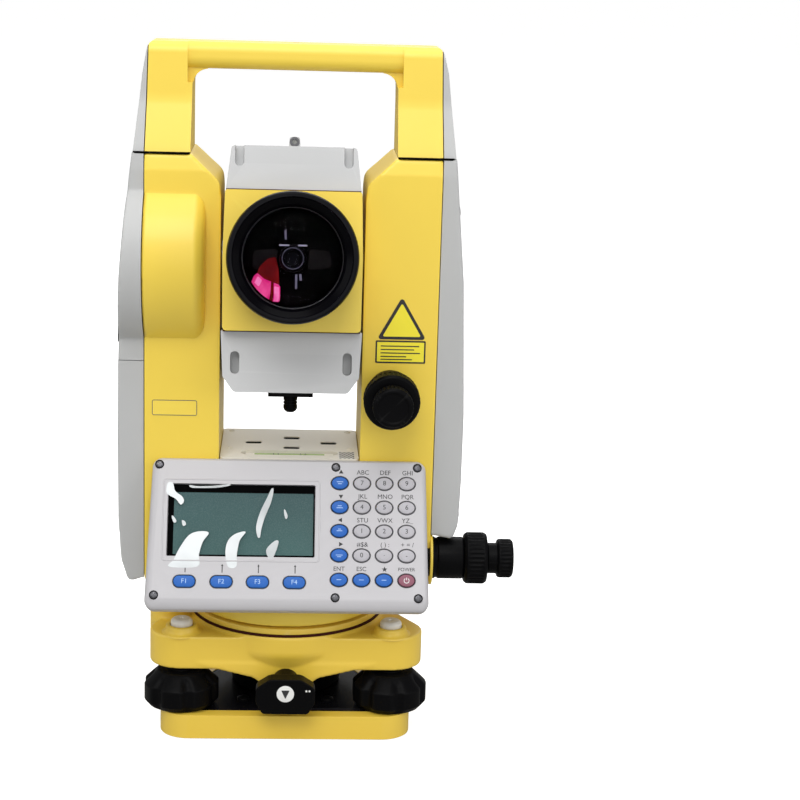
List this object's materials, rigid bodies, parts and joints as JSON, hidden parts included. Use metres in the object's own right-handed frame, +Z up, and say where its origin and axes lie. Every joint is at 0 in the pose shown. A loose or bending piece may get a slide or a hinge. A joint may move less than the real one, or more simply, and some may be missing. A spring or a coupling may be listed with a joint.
{
  "type": "surveying total station",
  "caption": "Surveying total station on a levelling tribrach: U-shaped turning frame with tilting telescope, sloped keypad and display, clamp knobs and a carrying handle.",
  "frame": {"origin": "centre of the footprint box, on the plane of the base plate's underside; the vertical axis of the instrument stands at x = -14.5 mm, y = -1.93 mm because the clamp knobs reach out on the +X side", "axes": "+Z up along the vertical axis, -Y towards the keypad and the objective at rest, +X towards the horizontal clamp and tangent knobs; the tilting axis of the telescope runs along X"},
  "size_m": [0.2066, 0.1771, 0.35],
  "materials": {
    "yellow": "yellow moulded plastic",
    "light": "light grey moulded plastic",
    "dark": "black moulded plastic",
    "steel": "machined steel",
    "cream": "ivory painted metal",
    "blue": "blue silicone key",
    "keygrey": "light grey silicone key",
    "red": "red silicone key",
    "glass": "coated glass",
    "brass": "machined brass",
    "alu": "painted aluminium casting",
    "alublack": "black anodised aluminium"
  },
  "bodies": {
    "tribrach": {"base_plate": "alu", "spring_plate": "steel", "tribrach_body": "alu", "tribrach_barrel": "dark", "circular_level": "glass", "centring_flange": "alu", "vertical_axis_spindle": "steel"},
    "foot_screw_left": {"foot_screw_left": "alublack"},
    "foot_screw_right": {"foot_screw_right": "alublack"},
    "foot_screw_rear": {"foot_screw_rear": "alublack"},
    "lock_ring": {"tribrach_lock_ring": "brass"},
    "lock_knob": {"tribrach_lock_knob": "dark"},
    "alidade": {"alidade_frame": "alu", "side_cover_left": "light", "side_cover_right": "light", "handle": "yellow", "deck_cover": "cream", "plate_level": "glass", "keypad_housing": "light", "lcd_panel": "glass", "rear_cover": "light"},
    "battery": {"battery_pack": "light"},
    "battery_latch": {"battery_latch": "dark"},
    "telescope": {"telescope_body": "alu", "telescope_upper_cap": "light", "telescope_lower_cap": "light", "objective_barrel": "alublack", "objective_lens": "glass", "trunnion_axle": "steel", "lower_sight": "dark"},
    "focus_ring": {"focus_ring": "dark"},
    "eyepiece": {"eyepiece": "dark"},
    "hz_clamp": {"hz_clamp_knob": "dark"},
    "hz_tangent": {"hz_tangent_knob": "dark"},
    "v_clamp": {"v_clamp_knob": "dark"},
    "v_tangent": {"v_tangent_knob": "dark"},
    "key_f1": {"key_f1": "blue"},
    "key_f2": {"key_f2": "blue"},
    "key_f3": {"key_f3": "blue"},
    "key_f4": {"key_f4": "blue"},
    "key_up": {"key_up": "blue"},
    "key_7": {"key_7": "keygrey"},
    "key_8": {"key_8": "keygrey"},
    "key_9": {"key_9": "keygrey"},
    "key_down": {"key_down": "blue"},
    "key_4": {"key_4": "keygrey"},
    "key_5": {"key_5": "keygrey"},
    "key_6": {"key_6": "keygrey"},
    "key_left": {"key_left": "blue"},
    "key_1": {"key_1": "keygrey"},
    "key_2": {"key_2": "keygrey"},
    "key_3": {"key_3": "keygrey"},
    "key_right": {"key_right": "blue"},
    "key_0": {"key_0": "keygrey"},
    "key_point": {"key_point": "keygrey"},
    "key_minus": {"key_minus": "keygrey"},
    "key_enter": {"key_enter": "blue"},
    "key_escape": {"key_escape": "blue"},
    "key_star": {"key_star": "blue"},
    "key_power": {"key_power": "red"}
  },
  "joints": [
    {"name": "alidade_turn", "type": "hinge", "parent": "tribrach", "child": "alidade", "pos_m": [-0.0145, -0.00193, 0.06], "axis": [0, 0, 1], "continuous": true},
    {"name": "telescope_tilt", "type": "hinge", "parent": "alidade", "child": "telescope", "pos_m": [-0.0145, -0.00193, 0.24], "axis": [1, 0, 0], "continuous": true},
    {"name": "focus_turn", "type": "hinge", "parent": "telescope", "child": "focus_ring", "pos_m": [-0.0145, -0.00193, 0.24], "axis": [0, -0.9848, 0.1736], "range_deg": [-170, 170]},
    {"name": "eyepiece_turn", "type": "hinge", "parent": "telescope", "child": "eyepiece", "pos_m": [-0.0145, -0.00193, 0.24], "axis": [0, -0.9848, 0.1736], "range_deg": [-180, 180]},
    {"name": "hz_clamp_turn", "type": "hinge", "parent": "alidade", "child": "hz_clamp", "pos_m": [0.0835, -0.02193, 0.087], "axis": [1, 0, 0], "range_deg": [0, 100]},
    {"name": "hz_tangent_turn", "type": "hinge", "parent": "alidade", "child": "hz_tangent", "pos_m": [0.0975, -0.02193, 0.087], "axis": [1, 0, 0], "range_deg": [-1080, 1080]},
    {"name": "v_clamp_turn", "type": "hinge", "parent": "alidade", "child": "v_clamp", "pos_m": [0.0361, -0.04793, 0.1776], "axis": [0, -1, 0], "range_deg": [0, 100]},
    {"name": "v_tangent_turn", "type": "hinge", "parent": "alidade", "child": "v_tangent", "pos_m": [0.0361, -0.06193, 0.1776], "axis": [0, -1, 0], "range_deg": [-1080, 1080]},
    {"name": "lock_knob_turn", "type": "hinge", "parent": "tribrach", "child": "lock_knob", "pos_m": [-0.0145, -0.06193, 0.0287], "axis": [0, -1, 0], "range_deg": [0, 180]},
    {"name": "lock_ring_turn", "type": "hinge", "parent": "tribrach", "child": "lock_ring", "pos_m": [-0.0145, -0.00193, 0.033], "axis": [0, 0, 1], "range_deg": [0, 20]},
    {"name": "foot_screw_left_turn", "type": "hinge", "parent": "tribrach", "child": "foot_screw_left", "pos_m": [-0.0685, -0.03993, 0.023], "axis": [0, 0, 1], "range_deg": [-1080, 1080]},
    {"name": "foot_screw_right_turn", "type": "hinge", "parent": "tribrach", "child": "foot_screw_right", "pos_m": [0.0395, -0.03993, 0.023], "axis": [0, 0, 1], "range_deg": [-1080, 1080]},
    {"name": "foot_screw_rear_turn", "type": "hinge", "parent": "tribrach", "child": "foot_screw_rear", "pos_m": [-0.0145, 0.05707, 0.023], "axis": [0, 0, 1], "range_deg": [-1080, 1080]},
    {"name": "battery_out", "type": "slide", "parent": "alidade", "child": "battery", "axis": [-1, 0, 0], "range_m": [0, 0.04]},
    {"name": "battery_latch_press", "type": "slide", "parent": "alidade", "child": "battery_latch", "axis": [0, 0, -1], "range_m": [0, 0.003]},
    {"name": "press_key_f1", "type": "slide", "parent": "alidade", "child": "key_f1", "axis": [0, 0.891, -0.454], "range_m": [0, 0.0008]},
    {"name": "press_key_f2", "type": "slide", "parent": "alidade", "child": "key_f2", "axis": [0, 0.891, -0.454], "range_m": [0, 0.0008]},
    {"name": "press_key_f3", "type": "slide", "parent": "alidade", "child": "key_f3", "axis": [0, 0.891, -0.454], "range_m": [0, 0.0008]},
    {"name": "press_key_f4", "type": "slide", "parent": "alidade", "child": "key_f4", "axis": [0, 0.891, -0.454], "range_m": [0, 0.0008]},
    {"name": "press_key_up", "type": "slide", "parent": "alidade", "child": "key_up", "axis": [0, 0.891, -0.454], "range_m": [0, 0.0008]},
    {"name": "press_key_7", "type": "slide", "parent": "alidade", "child": "key_7", "axis": [0, 0.891, -0.454], "range_m": [0, 0.0008]},
    {"name": "press_key_8", "type": "slide", "parent": "alidade", "child": "key_8", "axis": [0, 0.891, -0.454], "range_m": [0, 0.0008]},
    {"name": "press_key_9", "type": "slide", "parent": "alidade", "child": "key_9", "axis": [0, 0.891, -0.454], "range_m": [0, 0.0008]},
    {"name": "press_key_down", "type": "slide", "parent": "alidade", "child": "key_down", "axis": [0, 0.891, -0.454], "range_m": [0, 0.0008]},
    {"name": "press_key_4", "type": "slide", "parent": "alidade", "child": "key_4", "axis": [0, 0.891, -0.454], "range_m": [0, 0.0008]},
    {"name": "press_key_5", "type": "slide", "parent": "alidade", "child": "key_5", "axis": [0, 0.891, -0.454], "range_m": [0, 0.0008]},
    {"name": "press_key_6", "type": "slide", "parent": "alidade", "child": "key_6", "axis": [0, 0.891, -0.454], "range_m": [0, 0.0008]},
    {"name": "press_key_left", "type": "slide", "parent": "alidade", "child": "key_left", "axis": [0, 0.891, -0.454], "range_m": [0, 0.0008]},
    {"name": "press_key_1", "type": "slide", "parent": "alidade", "child": "key_1", "axis": [0, 0.891, -0.454], "range_m": [0, 0.0008]},
    {"name": "press_key_2", "type": "slide", "parent": "alidade", "child": "key_2", "axis": [0, 0.891, -0.454], "range_m": [0, 0.0008]},
    {"name": "press_key_3", "type": "slide", "parent": "alidade", "child": "key_3", "axis": [0, 0.891, -0.454], "range_m": [0, 0.0008]},
    {"name": "press_key_right", "type": "slide", "parent": "alidade", "child": "key_right", "axis": [0, 0.891, -0.454], "range_m": [0, 0.0008]},
    {"name": "press_key_0", "type": "slide", "parent": "alidade", "child": "key_0", "axis": [0, 0.891, -0.454], "range_m": [0, 0.0008]},
    {"name": "press_key_point", "type": "slide", "parent": "alidade", "child": "key_point", "axis": [0, 0.891, -0.454], "range_m": [0, 0.0008]},
    {"name": "press_key_minus", "type": "slide", "parent": "alidade", "child": "key_minus", "axis": [0, 0.891, -0.454], "range_m": [0, 0.0008]},
    {"name": "press_key_enter", "type": "slide", "parent": "alidade", "child": "key_enter", "axis": [0, 0.891, -0.454], "range_m": [0, 0.0008]},
    {"name": "press_key_escape", "type": "slide", "parent": "alidade", "child": "key_escape", "axis": [0, 0.891, -0.454], "range_m": [0, 0.0008]},
    {"name": "press_key_star", "type": "slide", "parent": "alidade", "child": "key_star", "axis": [0, 0.891, -0.454], "range_m": [0, 0.0008]},
    {"name": "press_key_power", "type": "slide", "parent": "alidade", "child": "key_power", "axis": [0, 0.891, -0.454], "range_m": [0, 0.0008]}
  ],
  "couplings": [
    {"joint": "lock_ring_turn", "follows": "lock_knob_turn", "ratio": 0.1111}
  ]
}
